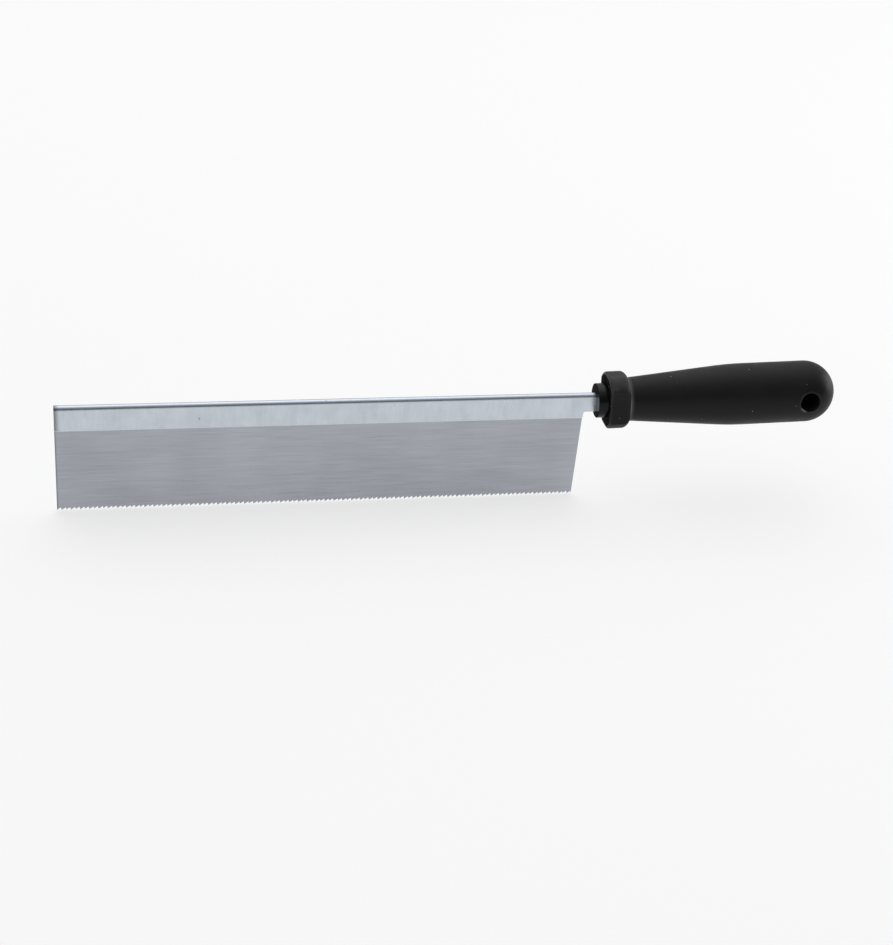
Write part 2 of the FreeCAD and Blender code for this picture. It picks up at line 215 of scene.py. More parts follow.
def brightZincPlate():
    # steel sheet, folded, then bright zinc-plated: a cool, slightly wavy mirror, with drain streaks and some
    # pinholes; painted shade over the fold's top and a painted highlight along its lower edges
    facts = zincFinish
    material, tree, output = newMaterial("zinc_bright_plated")
    here = addNode(tree, "TexCoord").outputs["Object"]
    sizes = facts["streakSpacing"], facts["streakAcross"], facts["streakHeight"]
    scale = [1 / (size * mm) for size in sizes]
    drawn = addNode(tree, "Mapping", {"Vector": here, "Scale": scale}).outputs["Vector"]
    streaks = addNode(tree, "TexNoise", {"Vector": drawn, "Scale": 1.0, "Detail": 5.0, "Roughness": 0.68})
    streak = streaks.outputs["Fac"]
    cloud = addNode(tree, "TexNoise", {"Vector": here, "Scale": 1 / (facts["cloudSize"] * mm), "Detail": 3.0})
    mixed = addNode(tree, "Mix", {"Factor": facts["cloudShare"], "A": streak, "B": cloud.outputs["Fac"]})
    shade = addNode(tree, "MapRange", {"Value": mixed.outputs["Result"], "From Min": 0.34, "From Max": 0.62})
    dark = linearColour(facts["dark"])
    light = linearColour(facts["light"])
    shaded = shade.outputs["Result"]
    colour = addNode(tree, "Mix", {"Factor": shaded, "A": dark, "B": light}, data_type="RGBA")

    # pinholes: the middle of some of the cells
    scale = [1 / (spacing * mm) for spacing in facts["pitSpacing"]]
    drawn = addNode(tree, "Mapping", {"Vector": here, "Scale": scale}).outputs["Vector"]
    cells = addNode(tree, "TexVoronoi", {"Vector": drawn, "Scale": 1.0})
    edge = facts["pitSize"] / facts["pitSpacing"][0]
    hole = addNode(
        tree,
        "MapRange",
        {
            "Value": cells.outputs["Distance"],
            "From Min": edge * 0.6,
            "From Max": edge,
            "To Min": 1.0,
            "To Max": 0.0,
        },
    )
    some = addNode(
        tree, "Math", {0: cells.outputs["Color"], 1: 1 - facts["pitShare"]}, operation="GREATER_THAN"
    )
    pits = addNode(tree, "Math", {0: hole.outputs["Result"], 1: some.outputs["Value"]}, operation="MULTIPLY")
    sheared = addNode(tree, "Attribute", attribute_name="sheared").outputs["Fac"]
    edge_highlight = addNode(tree, "Attribute", attribute_name="edge_highlight").outputs["Fac"]
    fold_top_shade = addNode(tree, "Attribute", attribute_name="fold_top_shade").outputs["Fac"]
    # the fold's top gets painted shade and the lower edges a painted highlight; pinholes and sheared ends are
    # the zinc's own
    for factor, hexText in (
        (fold_top_shade, facts["fold_top_shade"]),
        (pits.outputs["Value"], facts["pit"]),
        (sheared, facts["edge"]),
        (edge_highlight, facts["edge_highlight"]),
    ):
        colour = addNode(
            tree,
            "Mix",
            {"Factor": factor, "A": colour.outputs["Result"], "B": linearColour(hexText)},
            data_type="RGBA",
        )

    low, high = facts["roughness"]
    rough = addNode(
        tree, "MapRange", {"Value": streak, "From Min": 0.3, "From Max": 0.7, "To Min": low, "To Max": high}
    )
    wave = addNode(tree, "TexNoise", {"Vector": here, "Scale": 1 / (facts["waveSize"] * mm), "Detail": 1.0})
    wavy = addNode(
        tree, "Bump", {"Height": wave.outputs["Fac"], "Strength": 0.5, "Distance": facts["waveDepth"] * mm}
    )
    fine = addNode(
        tree,
        "Bump",
        {
            "Height": streak,
            "Strength": 0.2,
            "Distance": facts["streakDepth"] * mm,
            "Normal": wavy.outputs["Normal"],
        },
    )
    metal = addNode(
        tree,
        "BsdfPrincipled",
        {
            "Base Color": colour.outputs["Result"],
            "Metallic": 1.0,
            "Roughness": rough.outputs["Result"],
            "Normal": fine.outputs["Normal"],
        },
    )
    tree.links.new(metal.outputs["BSDF"], output.inputs["Surface"])
    return material


lacquerFinish = {
    "thick": "070909",       # where the coat is thick, and where it has run thin
    "thin": "131616",
    "roughness": (0.16, 0.26),
    "faceRoughness": 0.95,   # the press leaves the cup's flat face dull
    "cloudSize": 4.0,
    "peelSize": 0.8,         # ripples of a dipped coat
    "peelDepth": 0.01,
    "specular": 0.3,
}


def glossBlackLacquer():
    # drawn steel cup, dipped in stoving lacquer: a deeper, glossier black than the plastic, faintly rippled
    facts = lacquerFinish
    material, tree, output = newMaterial("steel_black_lacquered")
    here = addNode(tree, "TexCoord").outputs["Object"]
    peel = addNode(tree, "TexNoise", {"Vector": here, "Scale": 1 / (facts["peelSize"] * mm), "Detail": 2.0})
    cloud = addNode(tree, "TexNoise", {"Vector": here, "Scale": 1 / (facts["cloudSize"] * mm), "Detail": 3.0})
    thick = linearColour(facts["thick"])
    thin = linearColour(facts["thin"])
    colour = addNode(tree, "Mix", {"Factor": cloud.outputs["Fac"], "A": thick, "B": thin}, data_type="RGBA")
    low, high = facts["roughness"]
    gloss = addNode(
        tree,
        "MapRange",
        {"Value": cloud.outputs["Fac"], "From Min": 0.3, "From Max": 0.7, "To Min": low, "To Max": high},
    )
    face = addNode(tree, "Attribute", attribute_name="face").outputs["Fac"]
    rough = addNode(tree, "Mix", {"Factor": face, "A": gloss.outputs["Result"], "B": facts["faceRoughness"]})
    bumps = addNode(
        tree, "Bump", {"Height": peel.outputs["Fac"], "Strength": 0.3, "Distance": facts["peelDepth"] * mm}
    )
    paint = addNode(
        tree,
        "BsdfPrincipled",
        {
            "Base Color": colour.outputs["Result"],
            "Roughness": rough.outputs["Result"],
            "Normal": bumps.outputs["Normal"],
            "IOR": 1.5,
            "Specular IOR Level": facts["specular"],
        },
    )
    tree.links.new(paint.outputs["BSDF"], output.inputs["Surface"])
    return material


plasticFinish = {
    "dark": "1F1F20",
    "light": "292929",
    "shaded": "0D0D0E",      # painted shade on the bolster's face and inside the hanging hole
    # worn edges and painted highlights
    "rubbed_and_sheen": "5E5D5C",
    # pale specks and painted highlights
    "dust_and_highlight": "A5A3A1",
    "roughness": (0.38, 0.50),
    "faceRoughness": 1.0,
    "specular": 0.24,
    "cloudSize": 9.0,
    "grainSize": 0.35,       # spark-eroded mould grain is about 0.1 mm; drawn wider so that it shows
    "grainDepth": 0.02,
    "dustSpacing": 4.6,
    "dustSize": 0.34,        # specks are nearer 0.1 mm; drawn wider so that they show
    "dustShare": 0.62,
}


def mouldedBlackPlastic():
    # black polypropylene from a spark-eroded mould: satin, finely grained, worn paler on its edges and with a
    # few pale flecks of grime; painted shade on the bolster's face and in the hole, painted highlights on the
    # bolster, the throat and the hole's mouth
    facts = plasticFinish
    material, tree, output = newMaterial("polypropylene_moulded_black")
    here = addNode(tree, "TexCoord").outputs["Object"]
    scale = 1 / (facts["cloudSize"] * mm)
    clouds = addNode(tree, "TexNoise", {"Vector": here, "Scale": scale, "Detail": 4.0, "Roughness": 0.6})
    cloud = clouds.outputs["Fac"]
    colour = addNode(
        tree,
        "Mix",
        {"Factor": cloud, "A": linearColour(facts["dark"]), "B": linearColour(facts["light"])},
        data_type="RGBA",
    )

    # pale specks of grime in the middle of some of the cells; the mark adds painted highlights, a line in
    # the throat and a crescent on the hole's mouth
    cells = addNode(tree, "TexVoronoi", {"Vector": here, "Scale": 1 / (facts["dustSpacing"] * mm)})
    edge = facts["dustSize"] / facts["dustSpacing"]
    speck = addNode(
        tree,
        "MapRange",
        {
            "Value": cells.outputs["Distance"],
            "From Min": edge * 0.5,
            "From Max": edge,
            "To Min": 1.0,
            "To Max": 0.0,
        },
    )
    some = addNode(
        tree, "Math", {0: cells.outputs["Color"], 1: 1 - facts["dustShare"]}, operation="GREATER_THAN"
    )
    specks = addNode(
        tree, "Math", {0: speck.outputs["Result"], 1: some.outputs["Value"]}, operation="MULTIPLY"
    )
    dust_and_highlight = addNode(tree, "Attribute", attribute_name="dust_and_highlight").outputs["Fac"]
    speckedAndLit = addNode(tree, "Math", {0: specks.outputs["Value"], 1: dust_and_highlight}, operation="MAXIMUM")
    # worn edges, with painted highlights on the bolster's top, shoulder and rear rounding
    wear_and_sheen = addNode(tree, "Attribute", attribute_name="wear_and_sheen").outputs["Fac"]
    rubbed_and_sheen = addNode(tree, "Math", {0: wear_and_sheen, 1: cloud}, operation="MULTIPLY", use_clamp=True)
    face = addNode(tree, "Attribute", attribute_name="face").outputs["Fac"]
    # painted shade on the bolster's face and in the hole, then worn edges with painted highlights, then
    # specks and painted highlights
    for factor, hexText in (
        (face, facts["shaded"]),
        (rubbed_and_sheen.outputs["Value"], facts["rubbed_and_sheen"]),
        (speckedAndLit.outputs["Value"], facts["dust_and_highlight"]),
    ):
        colour = addNode(
            tree,
            "Mix",
            {"Factor": factor, "A": colour.outputs["Result"], "B": linearColour(hexText)},
            data_type="RGBA",
        )

    low, high = facts["roughness"]
    satin = addNode(
        tree, "MapRange", {"Value": cloud, "From Min": 0.3, "From Max": 0.7, "To Min": low, "To Max": high}
    )
    rough = addNode(tree, "Mix", {"Factor": face, "A": satin.outputs["Result"], "B": facts["faceRoughness"]})
    grain = addNode(tree, "TexNoise", {"Vector": here, "Scale": 1 / (facts["grainSize"] * mm), "Detail": 2.0})
    texture = addNode(
        tree, "Bump", {"Height": grain.outputs["Fac"], "Strength": 0.4, "Distance": facts["grainDepth"] * mm}
    )
    plastic = addNode(
        tree,
        "BsdfPrincipled",
        {
            "Base Color": colour.outputs["Result"],
            "Roughness": rough.outputs["Result"],
            "Normal": texture.outputs["Normal"],
            "IOR": 1.49,
            "Specular IOR Level": facts["specular"],
        },
    )
    tree.links.new(plastic.outputs["BSDF"], output.inputs["Surface"])
    return material


bladeFacts = {
    "thickness": 0.6,
    "pitch": 2.155,
    "depth": 1.25,        # tooth point to gullet
    "rake": 10.0,         # lean of the steep face, degrees
    "land": 0.06,         # flat left on each point
    "set": 0.14,          # how far each point is bent out, to the two sides by turns
    "fleam": 18.0,        # slant of the filed faces across the sheet, degrees
    "heelSlant": 1.3,     # how much further the heel's cut reaches at the top than at the teeth
    "slantPivot": 0.58,   # share of the height at which it crosses the square end
    "slantRun": 12.0,     # length at the heel that the slant is drawn over
    "rows": (2.2, 9.0, 20.0, 32.0, 44.0),
    "shearedEdge": 0.8,   # how dull the cut ends are
}


def makeBlade(material):
    # Each side is a grid: along the sheet, a column for every corner of the toothed edge, and upwards, rows
    # from that edge to the straight upper one. A point of the edge lies at the tooth's corner, moved out by
    # the set, which fades from the full set at the points to nothing at the gullets. The filed faces slant,
    # so the corners on the two sides are shifted opposite ways by the slant times half the thickness.
    facts = bladeFacts
    half = facts["thickness"] / 2
    teeth = int((heelX - toeX) / facts["pitch"])
    lean = facts["depth"] * math.tan(math.radians(facts["rake"]))
    slant = half * math.tan(math.radians(facts["fleam"]))
    number = np.arange(teeth)[:, None]
    left = facts["land"] / 2
    right = facts["pitch"] - facts["land"] / 2
    share = np.array([0.0, 0.5, 1.0, 0.5, 0.0])         # how deep into the gullet each corner lies
    across = np.array([left, (left + right - lean) / 2, right - lean, right - lean / 2, right])
    side = np.where(number % 2 == 0, 1.0, -1.0)
    bend = np.array([1.0, 0.35, 0.0, -0.35, -1.0]) * facts["set"] * side
    edgeX = toeX + number * facts["pitch"] + across
    filed = slant * side * np.array([0.35, 0.7, 1.0, 0.7, 0.35])
    edgeZ = toothLineZ + share * facts["depth"] + 0 * number
    sides = []
    for sign in (-1, 1):
        x = np.concatenate([[toeX], (edgeX + sign * filed).ravel(), [heelX]])
        lowZ = np.concatenate([[toothLineZ], edgeZ.ravel(), [toothLineZ]])
        out = np.concatenate([[bend[0, 0]], bend.ravel(), [bend[-1, -1]]])
        straightX = np.concatenate([[toeX], edgeX.ravel(), [heelX]])
        heights = toothLineZ + np.array([*facts["rows"], bladeTopZ - toothLineZ])
        rowsX = np.vstack([x, np.tile(straightX, (len(heights), 1))])
        rowsZ = np.vstack([lowZ, np.tile(heights[:, None], (1, len(x)))])
        rowsY = np.full_like(rowsX, sign * half)
        rowsY[0] += out
        sides.append(np.stack([rowsX, rowsY, rowsZ], axis=2))
    near, far = sides
    rows, columns = near.shape[:2]
    # the heel's cut slants a little, and the last few teeth are drawn in with it
    for side in sides:
        height = (side[:, :, 2] - toothLineZ) / (bladeTopZ - toothLineZ)
        slide = facts["heelSlant"] * (height - facts["slantPivot"])
        side[:, :, 0] += slide * np.clip((side[:, :, 0] - heelX) / facts["slantRun"] + 1, 0, 1)
    # one closed loop of rows: up the near side, down the far side
    loop = np.concatenate([near, far[::-1]])
    index = np.arange(loop.shape[0] * columns).reshape(-1, columns)
    caps = [
        np.stack([index[:rows, 0], index[::-1][:rows, 0]]),
        np.stack([index[::-1][:rows, -1], index[:rows, -1]]),
    ]
    cells = [gridFaces(index, wrapRows=True)] + [gridFaces(cap) for cap in caps]
    sheared = np.zeros(loop.shape[:2])
    sheared[:, [0, 1, -2, -1]] = facts["shearedEdge"]
    return meshPiece("blade_sheet", loop, cells, material, 25, marks={"sheared": sheared})


backFacts = {
    "thickness": 4.0,
    "leafGap": 0.6,
    "foldInside": 11.05,     # height of the slot inside the fold, from the lower edge
    "edgeRound": 0.35,
    "innerRound": 0.12,
    "endRound": 0.22,
    "overhang": 0.3,         # back beyond the heel of the blade
    "tangRise": 3.4,         # lower edge of the tang above the back's own
    "notchRound": 1.0,
    "cornerRound": 0.3,
    "tangBevel": 8.0,        # length of the tang's bevelled end, and how far its lower edge climbs there
    "tangClimb": 5.0,
    "step": 2.5,             # spacing of the columns
    "wallRows": (0.12, 0.4, 0.7, 0.9),
    "crook": 0.02,           # how far the folded sheet strays from straight
    "shearedEdge": 0.8,
    "foldShadeStart": 1.6,     # the painted shade on the fold starts this far below its top
    "foldShadeBlend": 0.9,
}


def cornerArc(centre, radius, start, end, count):
    # points on an arc and the outward direction at each
    angle = np.radians(np.linspace(start, end, count))
    outward = np.stack([np.cos(angle), np.sin(angle)], axis=1)
    return np.array(centre) + radius * outward, outward


def makeBack(material):
    # A closed outline carried along the lower edge of the back: up the outside, over the round fold, down the
    # far side and back through the slot. Each column starts at its point of the lower edge, which steps up to
    # the tang behind the heel, and runs to the fold straight above. At the toe the outline shrinks over a
    # quarter circle.
    facts = backFacts
    half = facts["thickness"] / 2
    gap = facts["leafGap"] / 2
    height = backHighZ - backLowZ
    shoulder = height - half
    stepX = heelX + facts["overhang"]
    rise = facts["tangRise"]
    corner = facts["cornerRound"]
    notch = facts["notchRound"]

    # the lower edge as places along X and Z with the direction into the sheet
    toeRun = toeX + facts["endRound"] * (1 - np.cos(np.linspace(0, np.pi / 2, 6)))
    plain = np.arange(toeX + facts["step"], stepX - facts["step"], facts["step"])
    lowX = np.concatenate([toeRun, plain])
    lower = [np.stack([lowX, 0 * lowX], axis=1)]
    inward = [np.tile([0.0, 1.0], (len(lowX), 1))]
    spot, outward = cornerArc((stepX - corner, corner), corner, -90, 0, 5)
    lower.append(spot)
    inward.append(-outward)
    spot, outward = cornerArc((stepX + notch, rise - notch), notch, 180, 90, 8)
    lower.append(spot)
    inward.append(outward)
    tangX = np.linspace(stepX + 2 * notch, tangEndX - facts["tangBevel"], 24)
    lower.append(np.stack([tangX, np.full_like(tangX, rise)], axis=1))
    inward.append(np.tile([0.0, 1.0], (len(tangX), 1)))
    lower.append(np.array([[tangEndX, rise + facts["tangClimb"]]]))
    inward.append(np.array([[0.0, 1.0]]))
    lower = np.concatenate(lower)
    inward = np.concatenate(inward)
    columns = len(lower)

    # columns fan out upwards, so that none stands on another where the lower edge climbs
    upperX = lower[:, 0].copy()
    climbing = np.abs(lower[:, 0] - stepX) < facts["step"]
    upperX[climbing] = np.linspace(stepX - facts["step"] * 0.9, stepX + facts["step"] * 0.9, climbing.sum())
    upper = np.stack([upperX, np.full(columns, shoulder)], axis=1)

    shrink = np.zeros(columns)
    turned = np.linspace(0, np.pi / 2, 6)
    shrink[:6] = facts["endRound"] * (1 - np.sin(turned))

    def leafRows(sign):
        # from the slot's roof down the inside, round the lower edge and up the outside, for one leaf
        roof = np.full(columns, facts["foldInside"])
        rows = [np.column_stack([upperX, np.full(columns, sign * gap), roof])]
        for wall, side, radius, first, last in (
            (gap + 0 * shrink, 1, facts["innerRound"], 180, 270),
            (half - shrink, -1, facts["edgeRound"], 270, 360),
        ):
            for angle in np.radians(np.linspace(first, last, 6)):
                y = wall + radius * (side + math.cos(angle))
                spot = lower + inward * (radius + radius * math.sin(angle) + shrink)[:, None]
                rows.append(np.column_stack([spot[:, 0], sign * y, spot[:, 1]]))
        start = lower + inward * (facts["edgeRound"] + shrink)[:, None]
        for part in facts["wallRows"]:
            spot = start + (upper - start) * part
            rows.append(np.column_stack([spot[:, 0], sign * (half - shrink), spot[:, 1]]))
        return rows

    nearRows = leafRows(-1)
    farRows = leafRows(1)
    fold = []
    for angle in np.linspace(math.pi, 0, 21):
        radius = half - shrink
        y = radius * math.cos(angle)
        z = shoulder + radius * math.sin(angle)
        fold.append(np.column_stack([upperX, y, z]))
    loop = np.stack(nearRows + fold + farRows[::-1])
    loop[:, :, 2] += backLowZ
    # the sheet is never quite straight: two slow waves move it sideways by less than can be felt
    along = (loop[:, :, 0] - toeX) / (heelX - toeX)
    bow = np.sin(along * 2.3 * np.pi) + 0.5 * np.sin(along * 7.1 * np.pi + 1.0)
    loop[:, :, 1] += facts["crook"] * bow * (along < 1) * np.sin(np.clip(along, 0, 1) * np.pi)
    index = np.arange(loop.shape[0] * columns).reshape(-1, columns)
    ends = [index[:, 0], index[::-1, -1]]
    x, y, z = np.moveaxis(loop, 2, 0)
    marks = {
        "sheared": facts["shearedEdge"] * (x < toeX + 2.2 * facts["endRound"]),
        # painted highlight along the rounded lower edges
        "edge_highlight": 1.0 * (z < backLowZ + facts["edgeRound"]) * (abs(y) > 1.5),
        # painted shade over the top of the fold
        "fold_top_shade": np.clip((z - backHighZ + facts["foldShadeStart"]) / facts["foldShadeBlend"], 0, 1),
    }
    return meshPiece("folded_back", loop, [gridFaces(index, wrapRows=True)], material, 35, ends, marks)


# handle and ferrule share one axis, which leaves the heel a little above the middle of the back
axisFacts = {
    "neckGap": 6.0,       # heel of the blade to the ferrule's face
    "rise": 8.5,          # axis above the back's lower edge, at that face
    "tilt": 1.4,          # degrees
    "clock": 6.5,         # turn of the handle about the axis, degrees
    "tangRoom": 0.1,      # room round the tang in its slot
}
axisStart = np.array([heelX + axisFacts["neckGap"], 0, backLowZ + axisFacts["rise"]])
tilt = math.radians(axisFacts["tilt"])
clock = math.radians(axisFacts["clock"])
axisTurn = np.array(Matrix.Rotation(-tilt, 3, "Y"))
handleTurn = axisTurn @ np.array(Matrix.Rotation(-clock, 3, "X"))


def alongAxis(points, turn):
    # local points, the first number along the axis, as points of the saw
    return axisStart + points @ turn.T


def ringRow(along, radius, angles):
    # one row of a turned surface: the angle runs from the top over the near side
    return np.stack([0 * angles + along, -radius * np.sin(angles), radius * np.cos(angles)], axis=1)


def slotRow(along, grow, angles, twist=0.0):
    # the tang's outline with its room, a rectangle with slightly rounded corners, as a row across the axis
    low = backLowZ + backFacts["tangRise"] - axisFacts["tangRoom"]
    high = backHighZ + axisFacts["tangRoom"]
    halfY = backFacts["thickness"] / 2 + axisFacts["tangRoom"] + grow
    halfZ = (high - low) / 2 + grow
    reach = (np.abs(np.sin(angles) / halfY) ** 24 + np.abs(np.cos(angles) / halfZ) ** 24) ** (-1 / 24)
    centre = ((low + high) / 2 - axisStart[2] - along * math.sin(tilt)) / math.cos(tilt)
    y = -reach * np.sin(angles)
    z = centre + reach * np.cos(angles)
    turned = y * math.cos(twist) - z * math.sin(twist), y * math.sin(twist) + z * math.cos(twist)
    return np.stack([0 * angles + along, *turned], axis=1)


def between(first, last, shares):
    # rows between two rows
    return [first + (last - first) * share for share in shares]


def quarter(count):
    # sine and one minus cosine over a quarter turn, for roundings
    turn = np.linspace(0, math.pi / 2, count)
    return list(zip(np.sin(turn), 1 - np.cos(turn)))


ferruleFacts = {
    "radius": 8.36,
    "wall": 1.0,
    "reach": 4.96,       # length in front of the bolster
    "seat": 7.0,         # length inside it
    "rim": 0.45,         # rounding of the face's edge
    "slotEdge": 0.12,
    "stripHalf": 4.9,    # half the height of the wiped strip, and how it leans as it runs out
    "stripLean": 0.65,
    "columns": 256,
}


def makeFerrule(material):
    # A closed ring of rows about the axis: out of the slot, across the face, round the rim, along the
    # outside, back along the inside and up to the slot again.
    facts = ferruleFacts
    angles = np.linspace(0, 2 * math.pi, facts["columns"], endpoint=False)
    radius = facts["radius"]
    length = facts["reach"] + facts["seat"]
    wall = facts["wall"]
    edge = facts["slotEdge"]
    rim = facts["rim"]
    rows = [slotRow(wall - 0.3, 0, angles)]
    rows += [slotRow(edge * (1 - sine), edge * fall, angles) for sine, fall in quarter(4)]
    rows += between(rows[-1], ringRow(0, radius - rim, angles), np.linspace(0.05, 0.95, 13))
    rows += [ringRow(rim * fall, radius - rim + rim * sine, angles) for sine, fall in quarter(7)]
    rows += [ringRow(along, radius, angles) for along in (1.2, 2.4, 3.6, 4.8, length - 0.1)]
    rows += [ringRow(length, radius - 0.1, angles), ringRow(length, radius - wall, angles)]
    rows += [ringRow(wall + 0.1, radius - wall, angles), ringRow(wall, radius - wall - 0.1, angles)]
    rows += [slotRow(wall, 0.1, angles)]
    grid = np.stack(rows)
    index = np.arange(grid.shape[0] * grid.shape[1]).reshape(grid.shape[:2])
    cells = [gridFaces(index, wrapRows=True, wrapColumns=True)]
    # the face is dull, except for a strip on the near side that has been wiped clean and mirrors the tang
    sideways = np.abs(grid[:, :, 1]) - backFacts["thickness"] / 2
    middle = slotRow(0, 0, angles)[:, 2].mean()
    strip = np.abs(grid[:, :, 2] - middle - facts["stripLean"] * sideways)
    wiped = np.clip((facts["stripHalf"] - strip) / 0.5, 0, 1) * (sideways > -0.2) * (grid[:, :, 1] < 0)
    face = (grid[:, :, 0] < rim * 0.25) * (1 - wiped)
    return meshPiece("ferrule_cup", alongAxis(grid, axisTurn), cells, material, 40, marks={"face": face})


handleFacts = {
    "fitRoom": 0.05,
    "bolsterRadius": 13.76,
    "bolsterLength": 7.5,
    "sideFlat": 11.07,
    "endFlat": 13.27,
    "frontRound": 1.15,
    "rearRound": 2.95,
    "flatSharpness": 260,   # the larger, the crisper the edges between the flats and the round parts
    "shoulderAngle": 0.55,  # where the hand wears the bolster and a painted highlight lies, in radians from its top
    "shoulderWidth": 0.3,
    "throatRadius": 10.42,
    "throatHighlightWidth": 0.28,      # painted highlight, a pale line in the throat
    "gripLength": 88.85,
    "gripRadius": 14.9,
    "gripTaper": 5.05,      # degrees
    "taperBlend": 170.0,
    "holeRadius": 4.75,
    "holeSetback": 15.75,
    "holeRound": 0.7,
    "holeWindow": 8.2,      # half the width of the patch round the hole
    "glintAngle": 2.25,     # middle and width of a painted highlight, a crescent on the hole's near mouth
    "glintWidth": 0.36,
    "columns": 400,
}


def roundedLine(corners, step):
    # straight runs between corners (along, radius, rounding), each corner an arc tangent to its two runs
    spots = [np.array(corners[0][:2])]
    for before, corner, after in zip(corners, corners[1:], corners[2:]):
        here = np.array(corner[:2])
        back = np.array(before[:2]) - here
        ahead = np.array(after[:2]) - here
        back = back / np.linalg.norm(back)
        ahead = ahead / np.linalg.norm(ahead)
        turn = math.pi - math.acos(float(np.clip(back @ ahead, -1, 1)))
        reach = corner[2] * math.tan(turn / 2)
        middle = (back + ahead) / np.linalg.norm(back + ahead)
        centre = here + middle * corner[2] / math.cos(turn / 2)
        start = here + back * reach - centre
        sweep = np.linspace(0, turn, max(4, int(corner[2] * turn / step) + 2))
        square = ahead - (ahead @ start) / (start @ start) * start
        square = square / np.linalg.norm(square) * corner[2]
        arc = centre + np.outer(np.cos(sweep), start) + np.outer(np.sin(sweep), square)
        spots.extend(straightRun(spots[-1], arc[0], step))
        spots.extend(arc[1:])
    spots.extend(straightRun(spots[-1], np.array(corners[-1][:2]), step))
    return np.array(spots)


def straightRun(start, end, step):
    # points after the start, up to the end, no further apart than the step
    count = max(1, math.ceil(float(np.linalg.norm(end - start)) / step))
    return [start + (end - start) * (number + 1) / count for number in range(count)]


def handleColumns(facts):
    # angles round the handle, closer together at the eight edges of the flats
    side = math.asin(facts["sideFlat"] / facts["bolsterRadius"])
    end = math.acos(facts["endFlat"] / facts["bolsterRadius"])
    edges = np.array([side, end])
    edges = np.concatenate([edges, math.pi - edges, math.pi + edges, 2 * math.pi - edges])
    fine = np.linspace(0, 2 * math.pi, 7201)
    width = math.radians(1.6)
    density = 1 + 5 * np.exp(-((fine[:, None] - edges) / width) ** 2).sum(axis=1)
    total = np.concatenate([[0], np.cumsum((density[1:] + density[:-1]) / 2)])
    wanted = np.arange(facts["columns"]) / facts["columns"] * total[-1]
    return np.interp(wanted, total, fine)


def bolsterRow(along, inset, share, angles, facts):
    # The nearest of the round surface and the four flats in each direction, blended where two are equally
    # near. The inset pulls all of them in, and the share, from 0 to 1, draws them together into the throat's
    # circle. Returns the row and how much of an edge each point is.
    sizes = [facts["bolsterRadius"], facts["sideFlat"], facts["endFlat"]]
    sizes = [size - inset + (facts["throatRadius"] - size + inset) * share for size in sizes]
    spread = np.stack([1 + 0 * angles, np.abs(np.sin(angles)), np.abs(np.cos(angles))])
    reach = np.array(sizes)[:, None] / np.maximum(spread, 1e-6)
    nearest = reach.min(axis=0)
    weight = (nearest / reach) ** facts["flatSharpness"]
    total = weight.sum(axis=0)
    edge = 1.5 * (1 - ((weight / total) ** 2).sum(axis=0)) * (1 - share)
    return ringRow(along, nearest * total ** (-1 / facts["flatSharpness"]), angles), edge


